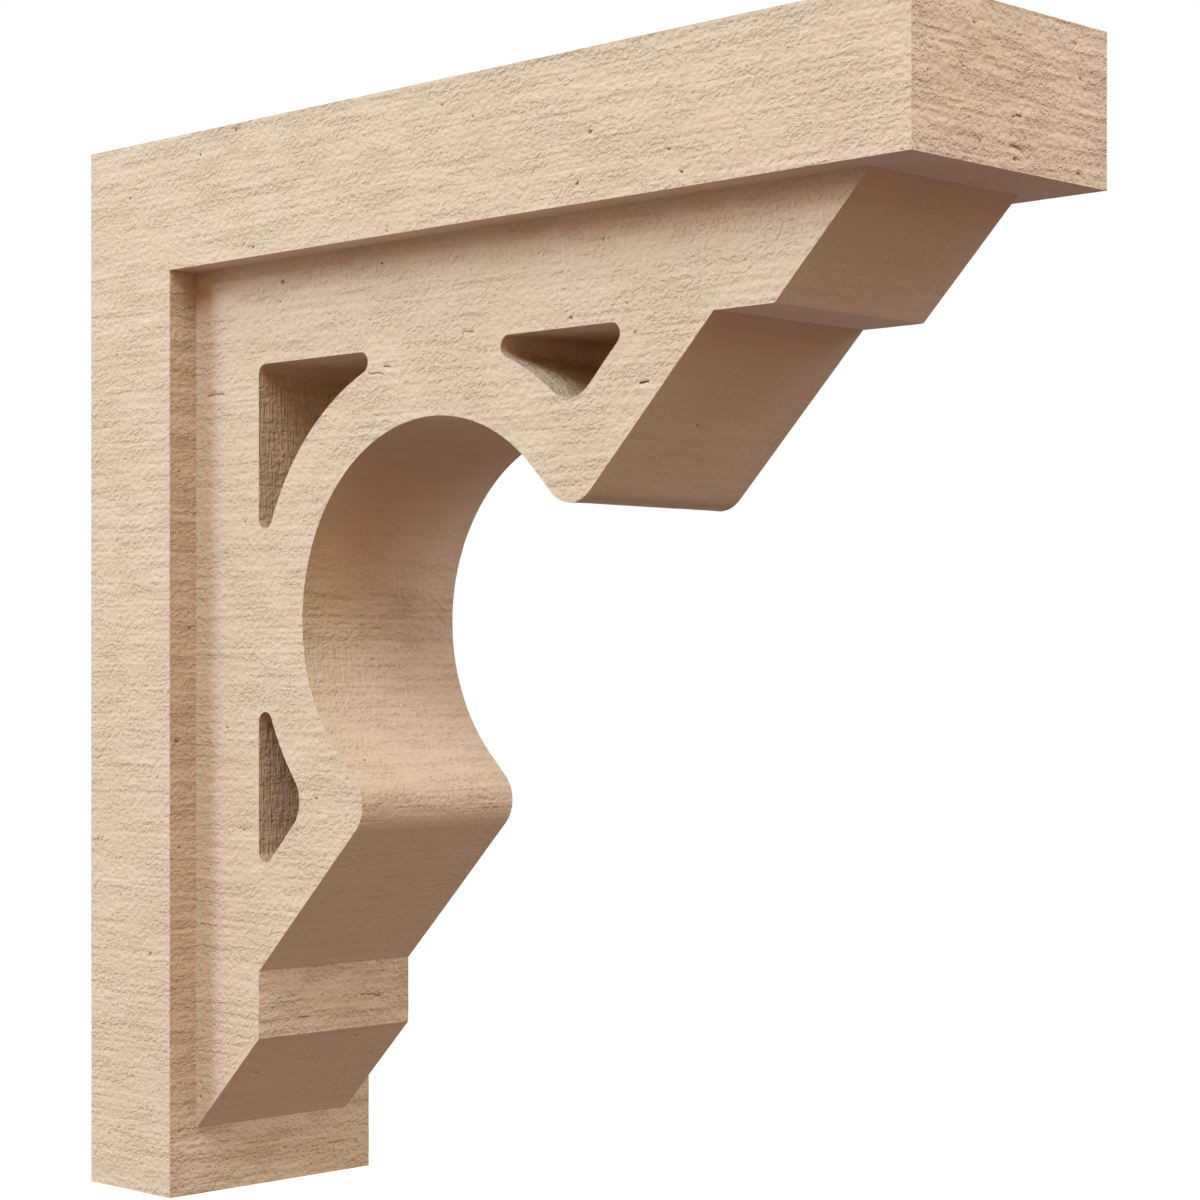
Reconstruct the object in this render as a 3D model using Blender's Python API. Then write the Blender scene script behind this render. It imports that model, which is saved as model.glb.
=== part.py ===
"""A porch corbel moulded in one piece: an upright leg, a level arm and a pierced brace between them.

Metres, +Z up. The origin is the middle of the back face, which goes against the wall.
+X points away from the wall, +Y runs across the corbel and +Z points up.

Outlines are drawn in the X-Z plane, where a point is the complex number x + z j. They go
anticlockwise, so what an outline encloses lies on the left of each of its edges.
"""

import cmath
import math

import bmesh
import bpy
from mathutils import Matrix

INCH = 0.0254

# Leg and arm
HEIGHT = 16.0 * INCH
PROJECTION = 16.0 * INCH
WIDTH = 4.0 * INCH
LEG_THICKNESS = 2.0 * INCH
ARM_THICKNESS = 2.0 * INCH

# Brace, which is narrower and stands back from both ends
BRACE_WIDTH = 3.0 * INCH
FOOT_SETBACK = 1.0 * INCH
FOOT_DEPTH = 1.5 * INCH
FOOT_FLAT = 1.0 * INCH
RAIL_WIDTH = 1.0 * INCH

# Rounded corners of the brace, seen from the side
NOSE_RADIUS = 0.5 * INCH
CORNER_RADIUS = 0.15 * INCH

# A nose inside a hole takes at most this share of the hole's side along the front rail
NOSE_SHARE = 1 / 3

# How far the middle of a facet may lie from its arc, and how near two points must be to become one
ARC_SAG = 0.00002
WELD_DISTANCE = 0.000001

# How far a cutter stands out of each side of the brace
CUT_MARGIN = 0.01

# Faces that meet at more than this angle keep a sharp edge
SHARP_ANGLE = math.radians(30.0)

TAN = (0.60, 0.45, 0.32, 1.0)
TAN_ROUGHNESS = 0.85

BOTTOM = -HEIGHT / 2
TOP = HEIGHT / 2
ARM_UNDERSIDE = TOP - ARM_THICKNESS

RIGHT = 1
UP = 1j


def dot(first, second):
    return (first * second.conjugate()).real


class Line:
    """A straight edge from one point towards another."""

    def __init__(self, start, end):
        self.start = start
        self.along = (end - start) / abs(end - start)
        self.inward = self.along * UP

    def moved_in(self, distance):
        shift = self.inward * distance
        return Line(self.start + shift, self.start + self.along + shift)

    def nearest(self, point):
        return self.start + self.along * dot(point - self.start, self.along)

    def between(self, first, last):
        return []


class Bay:
    """A round edge that bites into the outline, which goes clockwise about the bay's centre."""

    def __init__(self, centre, radius):
        self.centre = centre
        self.radius = radius

    def moved_in(self, distance):
        return Bay(self.centre, self.radius + distance)

    def nearest(self, point):
        return self.centre + self.radius * (point - self.centre) / abs(point - self.centre)

    def between(self, first, last):
        return arc(self.centre, first, last, clockwise=True)[1:-1]


def arc(centre, first, last, clockwise=False):
    """Points on the arc from first to last, both included."""
    turn = cmath.phase((last - centre) / (first - centre)) % math.tau
    if clockwise:
        turn -= math.tau
    facet_turn = 2 * math.acos(1 - ARC_SAG / abs(first - centre))
    facets = math.ceil(abs(turn) / facet_turn)
    return [centre + (first - centre) * cmath.rect(1, turn * i / facets) for i in range(facets + 1)]


def meet(edge, following):
    """The point where the outline leaves one edge for the following one."""
    if isinstance(edge, Line) and isinstance(following, Line):
        distance = dot(following.start - edge.start, following.inward)
        return edge.start + edge.along * distance / dot(edge.along, following.inward)
    line, bay = (edge, following) if isinstance(edge, Line) else (following, edge)
    middle = line.nearest(bay.centre)
    reach = math.sqrt(max(0.0, bay.radius**2 - abs(middle - bay.centre) ** 2))
    return middle + line.along * (-reach if line is edge else reach)


def outline(*edges):
    """Points of a closed outline. Each edge comes with the radius that rounds its far end."""
    corners = []
    for (edge, radius), (following, _) in zip(edges, edges[1:] + edges[:1]):
        centre = meet(edge.moved_in(radius), following.moved_in(radius))
        rounded = arc(centre, edge.nearest(centre), following.nearest(centre)) if radius else [centre]
        corners.append(rounded)
    points = []
    for (edge, _), corner_behind, corner_ahead in zip(edges, corners[-1:] + corners[:-1], corners):
        points += edge.between(corner_behind[-1], corner_ahead[0]) + corner_ahead
    return points


# The brace's front edge runs from a knee by the leg to a knee by the arm
LEG_KNEE = complex(LEG_THICKNESS + FOOT_DEPTH, BOTTOM + FOOT_SETBACK + FOOT_DEPTH + FOOT_FLAT)
ARM_KNEE = complex(PROJECTION - FOOT_SETBACK - FOOT_DEPTH - FOOT_FLAT, ARM_UNDERSIDE - FOOT_DEPTH)
FRONT = Line(LEG_KNEE, ARM_KNEE)

# Sides of the holes
LEG_SIDE = Line(LEG_KNEE, LEG_KNEE - UP)
ARM_SIDE = Line(ARM_KNEE, ARM_KNEE - RIGHT)
FRONT_SIDE = FRONT.moved_in(RAIL_WIDTH)

# The round rail touches the lines of the first two, and its centre lies on the third
CORNER = meet(ARM_SIDE, LEG_SIDE)
NOTCH_CENTRE = meet(Line(CORNER, CORNER + RIGHT - UP), FRONT_SIDE)
ROUND_SIDE = Bay(NOTCH_CENTRE, NOTCH_CENTRE.real - CORNER.real)
NOTCH = ROUND_SIDE.moved_in(-RAIL_WIDTH)


def frame_outline():
    """The leg and the arm, which make an L upside down."""
    return [
        complex(0.0, BOTTOM),
        complex(LEG_THICKNESS, BOTTOM),
        complex(LEG_THICKNESS, ARM_UNDERSIDE),
        complex(PROJECTION, ARM_UNDERSIDE),
        complex(PROJECTION, TOP),
        complex(0.0, TOP),
    ]


def brace_outline():
    """The brace's own edges, run on to the middle of the leg and of the arm."""
    leg_foot = complex(LEG_THICKNESS, BOTTOM + FOOT_SETBACK)
    arm_foot = complex(PROJECTION - FOOT_SETBACK, ARM_UNDERSIDE)
    leg_root = leg_foot - LEG_THICKNESS / 2
    arm_root = arm_foot + ARM_THICKNESS / 2 * UP
    slope = RIGHT + UP
    low_side = NOTCH_CENTRE - FRONT.along * NOTCH.radius
    high_side = NOTCH_CENTRE + FRONT.along * NOTCH.radius
    return outline(
        (Line(leg_root, leg_foot), 0.0),
        (Line(leg_foot, leg_foot + slope), 0.0),
        (Line(LEG_KNEE - UP, LEG_KNEE), 0.0),
        (FRONT, NOSE_RADIUS),
        (Line(low_side - FRONT.inward, low_side), 0.0),
        (NOTCH, 0.0),
        (Line(high_side, high_side - FRONT.inward), NOSE_RADIUS),
        (FRONT, 0.0),
        (Line(ARM_KNEE, ARM_KNEE + RIGHT), 0.0),
        (Line(arm_foot - slope, arm_foot), 0.0),
        (Line(arm_foot, arm_root), 0.0),
        (Line(arm_root, arm_root - RIGHT), 0.0),
        (Line(leg_root + UP, leg_root), 0.0),
    )


def nose_radius(nose, side):
    """The rounding of a hole's nose, limited by the length of the hole's side along the front rail."""
    return min(NOSE_RADIUS, NOSE_SHARE * abs(nose - meet(side, FRONT_SIDE)))


def hole_outlines():
    """The three openings between the leg, the arm and the rails."""
    leg_nose = nose_radius(meet(FRONT_SIDE, ROUND_SIDE), LEG_SIDE)
    arm_nose = nose_radius(meet(ROUND_SIDE, FRONT_SIDE), ARM_SIDE)
    rounded_leg_side = (LEG_SIDE, CORNER_RADIUS)
    rounded_arm_side = (ARM_SIDE, CORNER_RADIUS)
    rounded_front_side = (FRONT_SIDE, CORNER_RADIUS)
    rounded_round_side = (ROUND_SIDE, CORNER_RADIUS)
    return {
        "corner_hole": outline(rounded_leg_side, rounded_round_side, rounded_arm_side),
        "leg_hole": outline(rounded_leg_side, (FRONT_SIDE, leg_nose), rounded_round_side),
        "arm_hole": outline(rounded_arm_side, (ROUND_SIDE, arm_nose), rounded_front_side),
    }


def evaluated_mesh(source):
    """The mesh that an object shows once its curve and its modifiers are worked out."""
    depsgraph = bpy.context.evaluated_depsgraph_get()
    return bpy.data.meshes.new_from_object(source.evaluated_get(depsgraph))


def new_object(name, data, collection):
    made = bpy.data.objects.new(name, data)
    collection.objects.link(made)
    return made


def plate(name, points, thickness, collection):
    """An upright plate with the given outline, centred on the X-Z plane."""
    drawing = bpy.data.curves.new(name, "CURVE")
    drawing.dimensions = "2D"
    drawing.fill_mode = "BOTH"
    drawing.extrude = thickness / 2
    spline = drawing.splines.new("POLY")
    spline.points.add(len(points) - 1)
    for spline_point, point in zip(spline.points, points):
        spline_point.co = (point.real, point.imag, 0.0, 1.0)
    spline.use_cyclic_u = True
    drawn = new_object(name + "_drawing", drawing, collection)
    mesh = evaluated_mesh(drawn)
    bpy.data.objects.remove(drawn)
    mesh.transform(Matrix.Rotation(math.pi / 2, 4, "X"))
    weld = bmesh.new()
    weld.from_mesh(mesh)
    bmesh.ops.remove_doubles(weld, verts=weld.verts, dist=WELD_DISTANCE)
    weld.to_mesh(mesh)
    weld.free()
    return new_object(name, mesh, collection)


def moulding_material():
    material = bpy.data.materials.new("tan moulding")
    material.use_nodes = True
    shader = material.node_tree.nodes["Principled BSDF"]
    shader.inputs["Base Color"].default_value = TAN
    shader.inputs["Roughness"].default_value = TAN_ROUGHNESS
    shader.inputs["Metallic"].default_value = 0.0
    return material


def add_boolean(target, other, operation):
    boolean = target.modifiers.new(other.name, "BOOLEAN")
    boolean.operation = operation
    boolean.solver = "EXACT"
    boolean.object = other


def corbel(parts, guides):
    """The leg and arm with the brace joined on and the holes cut, as one solid."""
    frame = plate("leg_and_arm", frame_outline(), WIDTH, guides)
    brace = plate("brace", brace_outline(), BRACE_WIDTH, guides)
    add_boolean(frame, brace, "UNION")
    for name, points in hole_outlines().items():
        hole = plate(name, points, BRACE_WIDTH + 2 * CUT_MARGIN, guides)
        add_boolean(frame, hole, "DIFFERENCE")
    mesh = evaluated_mesh(frame)
    mesh.shade_smooth()
    mesh.set_sharp_from_angle(angle=SHARP_ANGLE)
    mesh.materials.clear()
    mesh.materials.append(moulding_material())
    return new_object("corbel", mesh, parts)


def new_collection(name):
    collection = bpy.data.collections.new(name)
    bpy.context.scene.collection.children.link(collection)
    return collection


def build():
    for leftover in list(bpy.data.objects):
        bpy.data.objects.remove(leftover)
    parts = new_collection("corbel")
    guides = new_collection("guides")
    corbel(parts, guides)
    for guide in guides.objects:
        guide.hide_render = True
        guide.display_type = "WIRE"


build()
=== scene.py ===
"""The look of the moulded corbel: its rough-sawn skin, its tan colour, a soft studio light and the camera.

Metres, +Z up, in the frame's own axes: the origin is the middle of the back face, +X points away from
the wall, +Y runs across the corbel and +Z points up.

The skin is the frame's own solid with many more points on its faces, pressed in where the saw, the grain
and the bubbles of the mould left their marks. Grain runs along X on the sides and the top, and along Y
everywhere else. A grain place is a position with its three numbers put in grain order: along the grain,
across it, and the one that is left.
"""

import math

import bmesh
import bpy
import numpy as np
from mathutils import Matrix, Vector, noise
from mathutils.bvhtree import BVHTree
from mathutils.geometry import delaunay_2d_cdt


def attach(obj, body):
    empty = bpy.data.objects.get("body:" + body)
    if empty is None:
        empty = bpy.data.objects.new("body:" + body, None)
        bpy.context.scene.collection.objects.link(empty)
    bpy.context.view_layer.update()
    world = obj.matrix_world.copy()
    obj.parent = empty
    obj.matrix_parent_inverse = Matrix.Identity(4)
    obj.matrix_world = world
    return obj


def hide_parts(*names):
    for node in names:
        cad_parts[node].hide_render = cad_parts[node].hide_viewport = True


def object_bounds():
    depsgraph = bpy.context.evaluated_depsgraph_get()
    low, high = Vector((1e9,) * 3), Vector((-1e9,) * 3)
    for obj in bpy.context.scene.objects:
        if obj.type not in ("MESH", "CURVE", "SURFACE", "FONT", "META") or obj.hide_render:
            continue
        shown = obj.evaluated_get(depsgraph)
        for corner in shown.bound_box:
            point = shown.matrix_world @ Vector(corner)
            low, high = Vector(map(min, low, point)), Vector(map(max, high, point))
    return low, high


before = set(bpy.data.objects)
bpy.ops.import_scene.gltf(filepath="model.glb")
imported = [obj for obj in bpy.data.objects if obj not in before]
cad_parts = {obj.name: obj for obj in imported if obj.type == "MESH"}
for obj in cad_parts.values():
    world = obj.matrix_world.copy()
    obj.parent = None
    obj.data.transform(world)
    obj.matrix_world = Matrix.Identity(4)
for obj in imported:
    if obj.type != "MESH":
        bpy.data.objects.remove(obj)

CAD_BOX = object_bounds()
NODE = "corbel"
MM = 0.001

# Faces that meet at less than the first angle are one flat region, at less than the second one skin
FLAT_ANGLE = math.radians(0.5)
SHARP_ANGLE = math.radians(30.0)

# Corners of the solid this close together are one
WELD_DISTANCE = 0.001 * MM

# Distance between neighbouring points along X, Y and Z, and how many times wider it is on the back
POINT_STEPS = np.array([2.8, 2.55, 1.32]) * MM
BACK_WIDENING = 3.0

# As shares of that distance: from row to row, how far a point strays and how far it keeps off an edge
ROW_SPACING = math.sqrt(0.75)
JITTER = 0.14
EDGE_CLEARANCE = 0.55
LATTICE_SEED = 11

# A flat region is cut into triangles inside its outline only, and places this close together are one
INSIDE_ONLY = 1
SAME_PLACE = 1e-6

# Kinds of face: long side or top, open front away from the wall, any other edge, hidden back
SIDE, FRONT, CUT, BACK = 0, 1, 2, 3

# How far a normal points along Y on a side and along X on a front, at least, and what counts as near
FACES_SIDEWAYS = 0.5
FACES_OUT = 0.99
NEARNESS = 1.0 * MM

# About how many pits and cracks there are to the square metre, by kind of face
PITS = {SIDE: 500, FRONT: 2600, CUT: 300, BACK: 300}
CRACKS = {SIDE: 50, FRONT: 350, CUT: 40, BACK: 0}

# Length of a mark, how far it reaches from its path, and its depth
PIT_LENGTHS = (0.1 * MM, 0.9 * MM)
CRACK_LENGTHS = (3.0 * MM, 11.0 * MM)
MARK_REACHES = (0.40 * MM, 0.70 * MM)
MARK_DEPTHS = (0.30 * MM, 0.65 * MM)
MARK_SEED = 23

# Where a mark's points lie across it and beyond its ends, as shares of its reach
SHARES_ACROSS = (-1.0, -0.5, 0.0, 0.5, 1.0)
SHARES_BEYOND = (0.5, 1.0)

# A mark's steps, its slope and wander, and how far other points and other marks stay off it
MARK_STEP = 1.1 * MM
MARK_SLOPE = 0.15
MARK_WANDER = 0.22 * MM
MARK_CLEARANCE = 0.7 * MM
MARK_SPACING = 0.35 * MM

# How strong the relief is, by kind of face, and how it fades towards a sharp edge
STRENGTH = {SIDE: 1.0, FRONT: 1.25, CUT: 0.7, BACK: 0.35}
RIM_WIDTH = 4.0 * MM
RIM_STRENGTH = 0.35

# Waves of the relief: lengths along, across and out of the grain in millimetres, and a pattern number
SWAY = ((45.0, 30.0, 30.0), 1)
ROUGH_STRETCHES = ((17.0, 50.0, 50.0), 2)
SWELL = ((80.0, 30.0, 30.0), 3)
RIDGES = ((26.0, 3.8, 3.8), 4)
BUMPS = ((6.5, 3.0, 3.0), 5)
FURROWS = ((42.0, 7.5, 7.5), 6)
FURROW_STRETCHES = ((24.0, 10.0, 10.0), 7)

# How far apart two neighbouring pattern numbers lie in the noise
PATTERN_SHIFT = 17.31

# Depths of the relief in millimetres, and how far its lines sway
MEAN_DEPTH = 0.15
SWELL_DEPTH = 0.14
RIDGE_DEPTH = 0.15
BUMP_DEPTH = 0.09
FURROW_DEPTH = 0.15
SWAY_REACH = 2.2 * MM

# From which value of its wave, which runs from -1 to 1, to which a stretch gets rough or furrowed
ROUGH_LIMITS = (-0.25, 0.30)
FURROWED_LIMITS = (-0.1, 0.3)

# How far from 0 of its wave a furrow reaches, and the share of its ridges that a smooth stretch keeps
FURROW_REACH = 0.10
SMOOTH_RIDGES = 0.4

# Z of the normal at which a cut edge stops being upright, and how near another face shelters it
SLOPING = 0.6
SHELTER = 60.0 * MM

# How coarse the bumps are on a front and on a cut edge, where those of a side have 1
FRONT_COARSENESS = 1.45
CUT_COARSENESS = 0.24

# What an upright cut edge and one that faces up add to that, and how many times it is in shelter
UPRIGHT_COARSENESS = 1.05
UPWARD_COARSENESS = 1.5
SHELTERED_COARSENING = 1.6

# Noises of the material: their lengths along, across and out of the grain, in millimetres
PATCH_LENGTHS = (20.0, 7.0, 7.0)
CRUMB_LENGTHS = (0.62, 0.58, 0.58)
LUMP_LENGTHS = (2.4, 2.2, 2.2)
GRAIN_LENGTHS = (36.0, 2.6, 2.6)
LINE_LENGTHS = (90.0, 1.5, 1.5)
STROKE_LENGTHS = (1.7, 1.15, 1.15)
COLUMN_LENGTHS = (0.95, 12.0, 12.0)
MOTTLE_LENGTHS = (30.0, 18.0, 18.0)
STROKE_TILT = math.radians(16.0)

# At which value of its noise, or sum of noises, each feature starts and at which it is complete
PATCH_LIMITS = (0.36, 0.62)
DENT_LIMITS = (0.60, 0.42)
CRUMB_HOLLOW_LIMITS = (0.52, 0.36)
STREAK_LIMITS = (0.60, 0.35)
MOTTLE_LIMITS = (0.35, 0.65)

# The bump height, and as shares of it how high each noise stands and how deep the dents are
BUMP_HEIGHT = 0.46 * MM
LUMP_HEIGHT = 1.4
GRAIN_HEIGHT = 0.72
LINE_HEIGHT = 0.35
COLUMN_HEIGHT = 1.6
DENT_DEPTH = 0.34

# How high crumbs stand, how much higher in a patch, and which share of that a front adds
CRUMB_HEIGHT = 0.07
PATCH_CRUMB_HEIGHT = 0.34
FRONT_CRUMB_GAIN = 1.1

# How much high grain keeps dents away, and how much a patch brings more of them
GRAIN_IN_DENTS = 0.5
PATCHES_IN_DENTS = 0.19

# Tans of the skin. The grain brown also paints shade in shelter, dents and crumb hollows, and the pit brown
# paints shade in pits along with their own colour
PALE_TAN = (0.69, 0.52, 0.385)
YELLOW_TAN = (0.67, 0.505, 0.36)
GRAIN_AND_SHADE_BROWN = (0.40, 0.26, 0.17)
PIT_BROWN_AND_SHADE = (0.16, 0.09, 0.06)

# How much brown painted shade lies over the tan in shelter, how much brown, partly stain and partly painted
# shade, lies in dents and crumb hollows, and how much for each millimetre of pit
SHELTER_SHADE = 0.28
DENT_STAIN_AND_SHADE = 0.21
CRUMB_STAIN_AND_SHADE = 0.16
PIT_STAIN_AND_SHADE = 2.2

# How much brown lies in the streaks of the grain, and how much a front adds to it
STREAK_STAIN = 0.06
FRONT_STREAK_STAIN = 0.17

# The shader's roughness between crumbs, what a crumb adds to it, and the shader's specular level
ROUGHNESS = 0.75
CRUMB_ROUGHNESS = 0.15
SPECULAR = 0.25


def smooth_step(low, high, value):
    share = np.clip((value - low) / (high - low), 0.0, 1.0)
    return share * share * (3.0 - 2.0 * share)


def distances(places, starts, ends):
    """The distance from each place to each straight stretch, a row for each place."""
    along = ends - starts
    offset = places[:, None] - starts
    share = np.clip((offset * along).sum(-1) / (along * along).sum(-1), 0.0, 1.0)
    return np.linalg.norm(offset - share[..., None] * along, axis=-1)


def inside(places, starts, ends):
    """Whether each flat place lies inside the closed outline that the stretches make."""
    x, y = places[:, :1], places[:, 1:]
    crossed = (starts[:, 1] > y) != (ends[:, 1] > y)
    rise = np.where(ends[:, 1] == starts[:, 1], 1.0, ends[:, 1] - starts[:, 1])
    crossing = starts[:, 0] + (y - starts[:, 1]) / rise * (ends[:, 0] - starts[:, 0])
    return (crossed & (x < crossing)).sum(1) % 2 == 1


def cad_solid():
    """The frame's solid, with its corners welded."""
    solid = bmesh.new()
    solid.from_mesh(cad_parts[NODE].data)
    bmesh.ops.remove_doubles(solid, verts=solid.verts, dist=WELD_DISTANCE)
    solid.normal_update()
    solid.verts.index_update()
    return solid


def groups(solid, angle):
    """The solid's faces in groups, where faces that meet at less than the angle are in one group."""
    grouped, found = set(), []
    for first in solid.faces:
        if first in grouped:
            continue
        group = [first]
        grouped.add(first)
        for face in group:
            for edge in face.edges:
                if edge.calc_face_angle() < angle:
                    fresh = set(edge.link_faces) - grouped
                    group.extend(fresh)
                    grouped.update(fresh)
        found.append(group)
    return found


def looks_at_another(face, tree, reach):
    """Whether there is another face straight before this one, within reach."""
    start = face.calc_center_median() + face.normal * NEARNESS
    return tree.ray_cast(start, face.normal, reach)[0] is not None


def kind_of(face, tree):
    """A face that looks at another one is no open front but the edge of a hole or of the notch."""
    centre = face.calc_center_median()
    if abs(face.normal.y) > FACES_SIDEWAYS or centre.z > CAD_BOX[1].z - NEARNESS:
        return SIDE
    if centre.x < NEARNESS:
        return BACK
    if face.normal.x > FACES_OUT and not looks_at_another(face, tree, CAD_BOX[1].x):
        return FRONT
    return CUT


def grain_order(kind):
    """The axes along the grain, across it, and the one that is left."""
    return [0, 2, 1] if kind == SIDE else [1, 2, 0]


class Region:
    """A flat region of the solid, laid out flat so that neighbouring points are about one unit apart."""

    def __init__(self, faces, skin, tree):
        self.skin = skin
        self.kind = kind_of(faces[0], tree)
        self.sheltered = looks_at_another(faces[0], tree, SHELTER)
        self.normal = np.array(faces[0].normal)
        self.grain = np.eye(3)[grain_order(self.kind)[0]]
        self.across = np.cross(self.normal, self.grain)
        own = set(faces)
        self.border = [edge for face in faces for edge in face.edges if not own.issuperset(edge.link_faces)]
        stretched = self.normal * POINT_STEPS
        stretched /= np.linalg.norm(stretched)

        # In point steps, a flat place is this far along the axes from the base
        self.axes = np.stack([self.grain, np.cross(stretched, self.grain)])
        self.base = stretched * (stretched @ (np.array(faces[0].verts[0].co) / POINT_STEPS))
        ends = np.array([[corner.co for corner in edge.verts] for edge in self.border])
        self.starts, self.ends = self.flattened(ends[:, 0]), self.flattened(ends[:, 1])
        self.rim = ends[[edge.calc_face_angle() > SHARP_ANGLE for edge in self.border]]

    def upright(self):
        """1 on an upright cut edge, down to 0 on a sloping or level one."""
        return max(0.0, 1.0 - abs(self.normal[2]) / SLOPING) if self.kind == CUT else 0.0

    def shelter(self):
        """1 on a cut edge that has another face close before it."""
        return 1.0 if self.kind == CUT and self.sheltered else 0.0

    def rough(self):
        """How coarse the bumps are against those of a side."""
        if self.kind == CUT:
            coarseness = CUT_COARSENESS + UPRIGHT_COARSENESS * self.upright()
            coarseness += UPWARD_COARSENESS * max(0.0, self.normal[2])
            return coarseness * (SHELTERED_COARSENING if self.sheltered else 1.0)
        return FRONT_COARSENESS if self.kind == FRONT else 1.0

    def flattened(self, places):
        return places / POINT_STEPS @ self.axes.T

    def raised(self, flat_places):
        return (self.base + flat_places @ self.axes) * POINT_STEPS

    def holds(self, flat_places):
        """Whether each place is inside the region and clear of its border."""
        clear = distances(flat_places, self.starts, self.ends).min(1) > EDGE_CLEARANCE
        return clear & inside(flat_places, self.starts, self.ends)

    def lattice(self, dice):
        """Places in staggered rows along the grain, a little jittered."""
        spacing = BACK_WIDENING if self.kind == BACK else 1.0
        low, high = self.starts.min(0) / spacing, self.starts.max(0) / spacing
        columns = np.arange(math.floor(low[0]), math.ceil(high[0]) + 1)
        rows = np.arange(math.floor(low[1] / ROW_SPACING), math.ceil(high[1] / ROW_SPACING) + 1)
        column, row = (each.ravel() for each in np.meshgrid(columns, rows))
        places = np.stack([column + row % 2 / 2, row * ROW_SPACING], axis=1)
        places = (places + dice.uniform(-JITTER, JITTER, places.shape)) * spacing
        return places[self.holds(places)]


class Mark:
    """A pit or a crack: a hollow with a round bottom that follows a path."""

    def __init__(self, region, start, length, reach, depth, dice):
        self.reach, self.depth = reach, depth
        steps = max(1, round(length / MARK_STEP))
        slope = dice.normal(0.0, MARK_SLOPE)
        along = np.linspace(0.0, length, steps + 1)
        wander = np.cumsum(dice.normal(0.0, MARK_WANDER, steps + 1))
        self.path = start + np.outer(along, region.grain) + np.outer(slope * along + wander, region.across)

    def distance(self, places):
        return distances(places, self.path[:-1], self.path[1:]).min(1)

    def hollow(self, places):
        """How deep the mark is at each place."""
        return self.depth * (1.0 - smooth_step(0.0, self.reach, self.distance(places)))

    def points(self, region):
        """The places that the skin needs to show the mark."""
        offsets = np.outer(np.array(SHARES_ACROSS) * self.reach, region.across)
        middle = (self.path[:, None] + offsets).reshape(-1, 3)
        caps = []
        for end, turn in ((self.path[0], -1), (self.path[-1], 1)):
            outward = turn * self.reach * region.grain
            caps += [end + outward * share for share in SHARES_BEYOND]
        return np.concatenate([middle, caps])


def marks_on(region, dice):
    """The region's pits and cracks, each clear of the border and of the others, and all their places."""
    marks, taken = [], np.empty((0, 3))
    low, high = region.starts.min(0), region.starts.max(0)
    box_area = np.prod(high - low) * np.prod(POINT_STEPS[grain_order(region.kind)[:2]])
    for density, lengths in ((PITS[region.kind], PIT_LENGTHS), (CRACKS[region.kind], CRACK_LENGTHS)):
        for _ in range(dice.poisson(density * box_area)):
            start = region.raised(dice.uniform(low, high)[None])[0]
            length, reach, depth = (dice.uniform(*span) for span in (lengths, MARK_REACHES, MARK_DEPTHS))
            mark = Mark(region, start, length, reach, depth, dice)
            places = mark.points(region)
            if not region.holds(region.flattened(places)).all():
                continue
            if len(taken) and np.linalg.norm(places[:, None] - taken, axis=-1).min() < MARK_SPACING:
                continue
            marks.append(mark)
            taken = np.concatenate([taken, places])
    return marks, taken


def inner_points(region, lattice_dice, mark_dice):
    """The places inside a region, where its lattice gives way to its marks, and how hollow each one is."""
    marks, mark_places = marks_on(region, mark_dice)
    lattice = region.raised(region.lattice(lattice_dice))
    for mark in marks:
        lattice = lattice[mark.distance(lattice) > mark.reach + MARK_CLEARANCE]
    places = np.concatenate([lattice, mark_places])
    hollows = np.zeros(len(places))
    for mark in marks:
        hollows = np.maximum(hollows, mark.hollow(places))
    return places, hollows


def triangles_between(flat_places, stretches):
    """Triangles that join flat places inside an outline and have its straight stretches as edges."""
    vectors = [Vector(place) for place in flat_places]
    cut = delaunay_2d_cdt(vectors, stretches, [], INSIDE_ONLY, SAME_PLACE)
    triangles, sources = cut[2], cut[3]
    return np.array([each[0] for each in sources])[np.array(triangles)]


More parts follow.
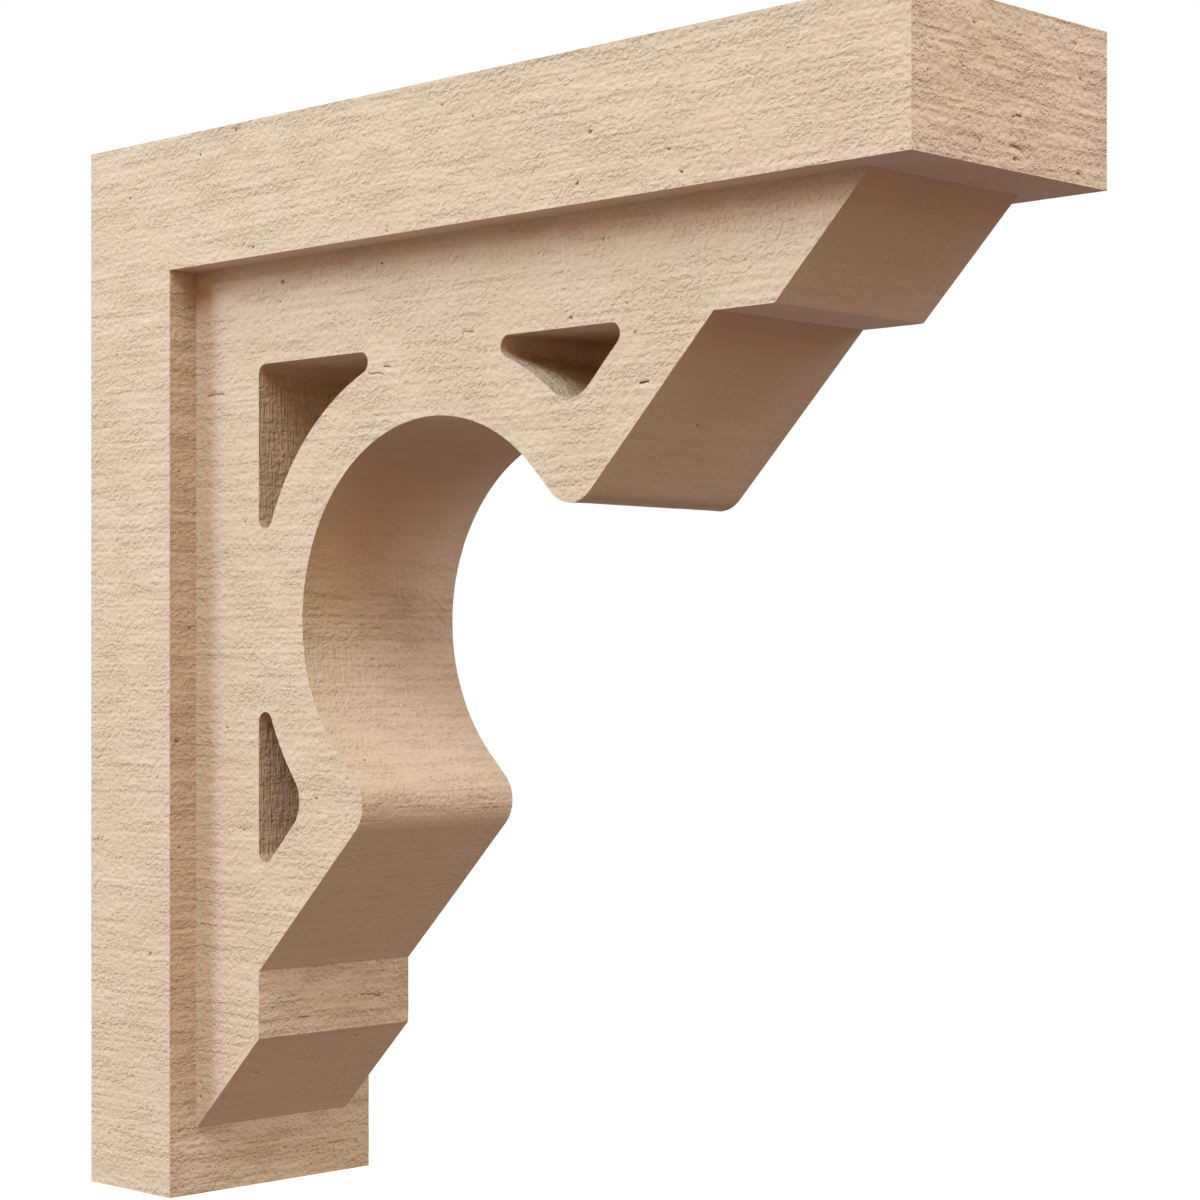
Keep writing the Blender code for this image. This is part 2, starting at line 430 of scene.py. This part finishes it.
class Skin:
    """The points and triangles of the whole skin, before its relief."""

    def __init__(self, solid):
        self.places = [np.array([corner.co for corner in solid.verts])]
        self.count = len(solid.verts)
        self.hollows = [np.zeros(self.count)]
        self.edge_points = {}
        self.triangles, self.regions, self.rims = [], [], []

    def add(self, places, hollows=0.0):
        """The numbers of new points."""
        first = self.count
        self.places.append(places)
        self.hollows.append(np.broadcast_to(hollows, len(places)))
        self.count += len(places)
        return list(range(first, self.count))

    def along(self, edge):
        """The numbers of the points on an edge of the solid, both ends included."""
        if edge not in self.edge_points:
            start, end = (np.array(corner.co) for corner in edge.verts)
            pieces = math.ceil(np.linalg.norm((end - start) / POINT_STEPS))
            shares = np.arange(1, pieces)[:, None] / pieces
            between = self.add(start + shares * (end - start))
            self.edge_points[edge] = [edge.verts[0].index, *between, edge.verts[1].index]
        return self.edge_points[edge]

    def cover(self, region, lattice_dice, mark_dice):
        """Fills a flat region with triangles."""
        chains = [self.along(edge) for edge in region.border]
        on_border = sorted({number for chain in chains for number in chain})
        inner, hollows = inner_points(region, lattice_dice, mark_dice)
        places = np.concatenate([np.concatenate(self.places)[on_border], inner])
        own_numbers = np.array(on_border + self.add(inner, hollows))
        position = {number: i for i, number in enumerate(on_border)}
        stretches = [(position[a], position[b]) for chain in chains for a, b in zip(chain, chain[1:])]
        flat = region.flattened(places)
        corners = triangles_between(flat, stretches)
        corners = corners[inside(flat[corners].mean(1), region.starts, region.ends)]
        self.triangles.append(own_numbers[corners])
        self.regions.append(region)
        rim = distances(places, region.rim[:, 0], region.rim[:, 1]).min(1)
        self.rims.append((own_numbers, rim))

    def by_corner(self, measure):
        """A measure of each region, repeated for each corner of its triangles."""
        sizes = [triangles.size for triangles in self.triangles]
        return np.repeat([measure(region) for region in self.regions], sizes, axis=0)

    def fade(self):
        """How much of the relief each point keeps: less of it near a sharp edge."""
        rim = np.full(self.count, np.inf)
        for own_numbers, own_rim in self.rims:
            np.minimum.at(rim, own_numbers, own_rim)
        return RIM_STRENGTH + (1.0 - RIM_STRENGTH) * smooth_step(0.0, RIM_WIDTH, rim)


def ripple(places, wave):
    """Smooth noise from -1 to 1 at each grain place."""
    lengths, pattern = wave
    scaled = places / (np.array(lengths) * MM) + pattern * PATTERN_SHIFT
    return np.array([noise.noise(place) for place in scaled.tolist()])


def relief(places, kind):
    """How deep the sawn surface lies below the solid's face at each grain place."""
    sway = np.zeros_like(places)
    sway[:, 1] = SWAY_REACH * ripple(places, SWAY)
    swayed = places + sway
    rough = smooth_step(*ROUGH_LIMITS, ripple(places, ROUGH_STRETCHES))
    swell = SWELL_DEPTH * ripple(places, SWELL)
    ridge_share = SMOOTH_RIDGES + (1.0 - SMOOTH_RIDGES) * rough
    ridges = RIDGE_DEPTH * ridge_share * ripple(swayed, RIDGES)
    bumps = BUMP_DEPTH * rough * ripple(swayed, BUMPS)
    furrow = 1.0 - smooth_step(0.0, FURROW_REACH, np.abs(ripple(swayed, FURROWS)))
    furrowed = smooth_step(*FURROWED_LIMITS, ripple(places, FURROW_STRETCHES))
    furrows = FURROW_DEPTH * furrow * furrowed
    return MM * (MEAN_DEPTH + STRENGTH[kind] * (swell + ridges + bumps + furrows))


def pressed(skin):
    """The points with relief and marks pressed in, their hollows, and each corner's grain place and kind."""
    points = np.concatenate(skin.places)
    hollows = np.concatenate(skin.hollows)
    corners = np.concatenate(skin.triangles).ravel()
    normals = skin.by_corner(lambda region: region.normal)
    skins = skin.by_corner(lambda region: region.skin)
    kinds = skin.by_corner(lambda region: region.kind)

    # A point on a sharp edge belongs to several skins, and each of them presses it in
    pairs, first, owner = np.unique(skins * len(points) + corners, return_index=True, return_inverse=True)
    outward = np.zeros((len(pairs), 3))
    np.add.at(outward, owner, normals)
    outward /= np.linalg.norm(outward, axis=1)[:, None]
    depth = np.zeros(len(pairs))
    corner_places = np.empty((len(corners), 3))
    for kind in (SIDE, FRONT, CUT, BACK):
        order = grain_order(kind)
        chosen = kinds[first] == kind
        depth[chosen] = relief(points[corners[first[chosen]]][:, order], kind)
        corner_places[kinds == kind] = points[corners[kinds == kind]][:, order]
    depth = depth * skin.fade()[corners[first]] + hollows[corners[first]]
    moved = points.copy()
    np.add.at(moved, corners[first], -outward * depth[:, None])
    return moved, hollows, corner_places, kinds


def add_numbers(mesh, name, data_type, domain, field, values):
    attribute = mesh.attributes.new(name, data_type, domain)
    attribute.data.foreach_set(field, values.astype(np.float32).ravel())


def mark_sharp_edges(mesh, owners):
    """An edge is sharp where two skins meet. Each corner of a triangle comes with the skin that owns it."""
    edges = np.empty(len(mesh.loops), np.int32)
    mesh.loops.foreach_get("edge_index", edges)
    lowest = np.full(len(mesh.edges), len(owners))
    highest = np.full(len(mesh.edges), -1)
    np.minimum.at(lowest, edges, owners)
    np.maximum.at(highest, edges, owners)
    sharp = mesh.attributes.new("sharp_edge", "BOOLEAN", "EDGE")
    sharp.data.foreach_set("value", lowest != highest)


def rough_sawn_corbel():
    """The corbel as one closed mesh with its relief."""
    solid = cad_solid()
    tree = BVHTree.FromBMesh(solid)
    skin_of = {face: i for i, group in enumerate(groups(solid, SHARP_ANGLE)) for face in group}
    lattice_dice = np.random.default_rng(LATTICE_SEED)
    mark_dice = np.random.default_rng(MARK_SEED)
    skin = Skin(solid)
    for faces in groups(solid, FLAT_ANGLE):
        skin.cover(Region(faces, skin_of[faces[0]], tree), lattice_dice, mark_dice)
    solid.free()
    points, hollows, corner_places, kinds = pressed(skin)
    triangles = np.concatenate(skin.triangles)
    mesh = bpy.data.meshes.new("rough_sawn_corbel")
    mesh.from_pydata(points.tolist(), [], triangles.tolist())
    mesh.shade_smooth()
    mark_sharp_edges(mesh, skin.by_corner(lambda region: region.skin))
    add_numbers(mesh, "grain_place", "FLOAT_VECTOR", "CORNER", "vector", corner_places)
    # How deep each pit is; the colour paints pits darker by it, partly as shade
    add_numbers(mesh, "hollow", "FLOAT", "POINT", "value", hollows / MM)
    add_numbers(mesh, "front", "FLOAT", "CORNER", "value", kinds == FRONT)
    add_numbers(mesh, "upright", "FLOAT", "CORNER", "value", skin.by_corner(Region.upright))
    add_numbers(mesh, "rough", "FLOAT", "CORNER", "value", skin.by_corner(Region.rough))
    # Cut edges close before another face, where the colour paints shade
    add_numbers(mesh, "sheltered", "FLOAT", "CORNER", "value", skin.by_corner(Region.shelter))
    corbel = bpy.data.objects.new("rough_sawn_corbel", mesh)
    bpy.context.scene.collection.objects.link(corbel)
    return corbel


class Nodes:
    """Adds shader nodes to a material or world."""

    def __init__(self, owner):
        owner.use_nodes = True
        self.tree = owner.node_tree
        self.tree.nodes.clear()

    def add(self, kind, inputs=(), output=0, **settings):
        """A new node's output, with its settings and its inputs set or linked."""
        made = self.tree.nodes.new("ShaderNode" + kind)
        for name, value in settings.items():
            setattr(made, name, value)
        for name, value in dict(inputs).items():
            if isinstance(value, bpy.types.NodeSocket):
                self.tree.links.new(value, made.inputs[name])
            else:
                made.inputs[name].default_value = value
        return made.outputs[output] if len(made.outputs) else made

    def attribute(self, name, output="Fac"):
        return self.add("Attribute", output=output, attribute_name=name)

    def math(self, operation, first, second=0.0, third=0.0):
        return self.add("Math", {0: first, 1: second, 2: third}, operation=operation)

    def share(self, value, start, complete):
        """Rises smoothly from 0 to 1 as the value goes from start to complete."""
        inputs = {"Value": value, "From Min": start, "From Max": complete}
        return self.add("MapRange", inputs, interpolation_type="SMOOTHSTEP")

    def mix(self, share, first, second):
        """Goes from the first colour to the second as the share goes from 0 to 1."""
        return self.add("MixRGB", {"Fac": share, "Color1": first, "Color2": second})

    def ripple(self, place, lengths, detail=1.0):
        """Noise from 0 to 1 with waves of the given lengths, in millimetres."""
        scales = [1.0 / (length * MM) for length in lengths]
        scaled = self.add("VectorMath", {0: place, 1: scales}, operation="MULTIPLY")
        return self.add("TexNoise", {"Vector": scaled, "Scale": 1.0, "Detail": detail})


def opaque(colour):
    return (*colour, 1.0)


class SkinLook:
    """The skin's shader nodes: the noises that its bumps and its colour share, and what they make."""

    def __init__(self, nodes):
        self.nodes = nodes
        self.place = nodes.attribute("grain_place", "Vector")
        self.front = nodes.attribute("front")
        self.rough = nodes.attribute("rough")
        self.patches = nodes.share(nodes.ripple(self.place, PATCH_LENGTHS), *PATCH_LIMITS)
        self.crumbs = nodes.ripple(self.place, CRUMB_LENGTHS)
        self.grain = nodes.ripple(self.place, GRAIN_LENGTHS)
        self.dents = self.slanting_dents()

    def slanting_dents(self):
        """Short slanting dents, closer together in patches and along the low lines of the grain."""
        tilt = {"Vector": self.place, "Angle": -STROKE_TILT}
        tilted = self.nodes.add("VectorRotate", tilt, rotation_type="Z_AXIS")
        strokes = self.nodes.ripple(tilted, STROKE_LENGTHS)
        level = self.nodes.math("MULTIPLY_ADD", self.grain, GRAIN_IN_DENTS, strokes)
        level = self.nodes.math("MULTIPLY_ADD", self.patches, -PATCHES_IN_DENTS, level)
        return self.nodes.share(level, *DENT_LIMITS)

    def height(self):
        """How high the skin stands, as a share of the bump height."""
        nodes = self.nodes
        crumb_height = nodes.math("MULTIPLY_ADD", self.patches, PATCH_CRUMB_HEIGHT, CRUMB_HEIGHT)
        crumb_gain = nodes.math("MULTIPLY_ADD", self.front, FRONT_CRUMB_GAIN, 1.0)
        height = nodes.math("MULTIPLY", self.crumbs, nodes.math("MULTIPLY", crumb_height, crumb_gain))
        lumps = nodes.ripple(self.place, LUMP_LENGTHS)
        lines = nodes.ripple(self.place, LINE_LENGTHS, detail=0.0)
        columns = nodes.ripple(self.place, COLUMN_LENGTHS)
        upright_columns = nodes.math("MULTIPLY", columns, nodes.attribute("upright"))
        height = nodes.math("MULTIPLY_ADD", lumps, LUMP_HEIGHT, height)
        height = nodes.math("MULTIPLY_ADD", self.grain, GRAIN_HEIGHT, height)
        height = nodes.math("MULTIPLY_ADD", lines, LINE_HEIGHT, height)
        height = nodes.math("MULTIPLY_ADD", upright_columns, COLUMN_HEIGHT, height)
        height = nodes.math("MULTIPLY_ADD", self.dents, -DENT_DEPTH, height)
        return nodes.math("MULTIPLY", self.rough, height)

    def colour(self):
        """Mottled tan, with brown streaks of the grain, painted shade in shelter, and brown that is partly
        stain and partly painted shade in every hollow.
        """
        nodes = self.nodes
        mottle = nodes.share(nodes.ripple(self.place, MOTTLE_LENGTHS), *MOTTLE_LIMITS)
        colour = nodes.mix(mottle, opaque(YELLOW_TAN), opaque(PALE_TAN))
        # Painted shade: cut edges with another face close before them are painted browner
        shelter = nodes.math("MULTIPLY", nodes.attribute("sheltered"), SHELTER_SHADE)
        streak_stain = nodes.math("MULTIPLY_ADD", self.front, FRONT_STREAK_STAIN, STREAK_STAIN)
        streaks = nodes.math("MULTIPLY", nodes.share(self.grain, *STREAK_LIMITS), streak_stain)
        # Crumb hollows and dents are painted darker: partly the skin's brown, partly painted shade
        crumb_hollows = nodes.share(self.crumbs, *CRUMB_HOLLOW_LIMITS)
        low = nodes.math("MULTIPLY", crumb_hollows, CRUMB_STAIN_AND_SHADE)
        low = nodes.math("MULTIPLY_ADD", self.dents, DENT_STAIN_AND_SHADE, low)
        low = nodes.math("MULTIPLY", low, nodes.math("MINIMUM", self.rough, 1.0))
        for stain_and_shade in (shelter, streaks, low):
            colour = nodes.mix(stain_and_shade, colour, opaque(GRAIN_AND_SHADE_BROWN))
        # Pits are painted darker by their depth: partly their own brown, partly painted shade
        pits = nodes.math("MULTIPLY", nodes.attribute("hollow"), PIT_STAIN_AND_SHADE)
        return nodes.mix(pits, colour, opaque(PIT_BROWN_AND_SHADE))

    def roughness(self):
        """A little rougher on the crumbs."""
        return self.nodes.math("MULTIPLY_ADD", self.crumbs, CRUMB_ROUGHNESS, ROUGHNESS)


def moulding_material():
    """Matt tan skin, rough all over."""
    material = bpy.data.materials.new("rough_sawn_tan")
    nodes = Nodes(material)
    look = SkinLook(nodes)
    bump = nodes.add("Bump", {"Height": look.height(), "Distance": BUMP_HEIGHT, "Strength": 1.0})
    surface = {
        "Base Color": look.colour(),
        "Roughness": look.roughness(),
        "Specular IOR Level": SPECULAR,
        "Normal": bump,
    }
    shader = nodes.add("BsdfPrincipled", surface)
    nodes.add("OutputMaterial", {"Surface": shader})
    return material


# The camera looks level, at 45 degrees to the side face. Rows and columns are the photograph's pixels
FRAME_PIXELS = 1200
FOCAL_PIXELS = 2824.4
HORIZON_ROW = 668.6
MIDDLE_COLUMN = 544.9
CAMERA_PLACE = (0.9173, -0.7141, -0.0002)
CAMERA_LOOK = (-1.0, 1.0, 0.0)
SENSOR_WIDTH = 36.0


def add_camera():
    lens = bpy.data.cameras.new("camera")
    lens.sensor_width = SENSOR_WIDTH
    lens.lens = FOCAL_PIXELS / FRAME_PIXELS * SENSOR_WIDTH
    lens.shift_x = 0.5 - MIDDLE_COLUMN / FRAME_PIXELS
    lens.shift_y = HORIZON_ROW / FRAME_PIXELS - 0.5
    camera = bpy.data.objects.new("camera", lens)
    camera.location = CAMERA_PLACE
    camera.rotation_euler = Vector(CAMERA_LOOK).to_track_quat("-Z", "Y").to_euler()
    bpy.context.scene.collection.objects.link(camera)
    bpy.context.scene.camera = camera


# The middle of the corbel, which hangs above the floor as it does on a wall
MIDDLE = Vector((0.2, 0.0, 0.0))
FLOOR_DEPTH = 1.6
FLOOR_SIZE = 24.0

# Colours of the floor for its bounced light and to the eye, its glow, and the world's even light
FLOOR_BOUNCE = (0.151, 0.112, 0.135)
FLOOR_PALE = (0.8, 0.8, 0.8)
FLOOR_GLOW = 0.9
SKY = (0.80, 0.49, 0.20)
WHITE = (1.0, 1.0, 1.0)

# The power of a lamp of strength 1 at one metre. A lamp further away has more, for the same light
FULL_WATTS = 15.0

# Degrees round from the near side towards the wall, degrees up, width, distance, and strength by colour
LAMPS = {
    "key_lamp": (43.5, 24.0, 1.2, 4.0, (0.224, 0.315, 0.376)),
    "front_lamp": (-15.0, 50.0, 1.8, 4.0, (0.262, 0.386, 0.485)),
    "right_lamp": (-75.0, 40.0, 1.0, 2.0, (0.140, 0.165, 0.150)),
    "back_lamp": (-112.0, 30.0, 1.2, 2.0, (0.145, 0.220, 0.300)),
    "level_lamp": (60.0, 0.0, 1.0, 1.7, (0.076, 0.120, 0.164)),
}


def seen_directly(nodes):
    """1 where the camera sees the surface itself, in a reflection or through glass, and 0 for its light."""
    ray = nodes.tree.nodes.new("ShaderNodeLightPath")
    either = nodes.math("MAXIMUM", ray.outputs["Is Camera Ray"], ray.outputs["Is Glossy Ray"])
    return nodes.math("MAXIMUM", either, ray.outputs["Is Transmission Ray"])


def add_floor():
    """Pale where it is seen, with the corbel's shadow on it, and a dull warm grey for its bounced light."""
    material = bpy.data.materials.new("pale_floor")
    nodes = Nodes(material)
    seen = seen_directly(nodes)
    bounce = nodes.add("BsdfDiffuse", {"Color": opaque(FLOOR_BOUNCE)})
    pale = nodes.add("BsdfDiffuse", {"Color": opaque(FLOOR_PALE)})
    glow = nodes.add("Emission", {"Color": opaque(WHITE), "Strength": FLOOR_GLOW})
    look = nodes.add("AddShader", {0: pale, 1: glow})
    surface = nodes.add("MixShader", {0: seen, 1: bounce, 2: look})
    nodes.add("OutputMaterial", {"Surface": surface})
    mesh = bpy.data.meshes.new("floor")
    sheet = bmesh.new()
    bmesh.ops.create_grid(sheet, size=FLOOR_SIZE / 2)
    sheet.to_mesh(mesh)
    sheet.free()
    mesh.materials.append(material)
    floor = bpy.data.objects.new("floor", mesh)
    floor.location = (MIDDLE.x, MIDDLE.y, -FLOOR_DEPTH)
    bpy.context.scene.collection.objects.link(floor)


def add_world():
    """White where it is seen, and an even warm light otherwise."""
    world = bpy.data.worlds.new("studio")
    nodes = Nodes(world)
    seen = seen_directly(nodes)
    glow = nodes.add("Background", {"Color": opaque(SKY), "Strength": 1.0})
    white = nodes.add("Background", {"Color": opaque(WHITE), "Strength": 1.0})
    nodes.add("OutputWorld", {"Surface": nodes.add("MixShader", {0: seen, 1: glow, 2: white})})
    bpy.context.scene.world = world


def add_lamps():
    """Soft square lamps, all turned to the middle of the corbel."""
    for name, (round_angle, up_angle, width, distance, strengths) in LAMPS.items():
        turn, lift = math.radians(round_angle), math.radians(up_angle)
        level = math.cos(lift)
        towards = Vector((-math.sin(turn) * level, -math.cos(turn) * level, math.sin(lift)))
        light = bpy.data.lights.new(name, "AREA")
        light.size = width
        light.energy = FULL_WATTS * distance**2 * max(strengths)
        light.color = [strength / max(strengths) for strength in strengths]
        lamp = bpy.data.objects.new(name, light)
        lamp.location = MIDDLE + towards * distance
        lamp.rotation_euler = (-towards).to_track_quat("-Z", "Y").to_euler()
        bpy.context.scene.collection.objects.link(lamp)


add_camera()
add_world()
add_floor()
add_lamps()
bpy.context.scene.view_settings.view_transform = "Standard"

corbel = rough_sawn_corbel()
corbel.data.materials.append(moulding_material())
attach(corbel, "root")
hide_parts(NODE)
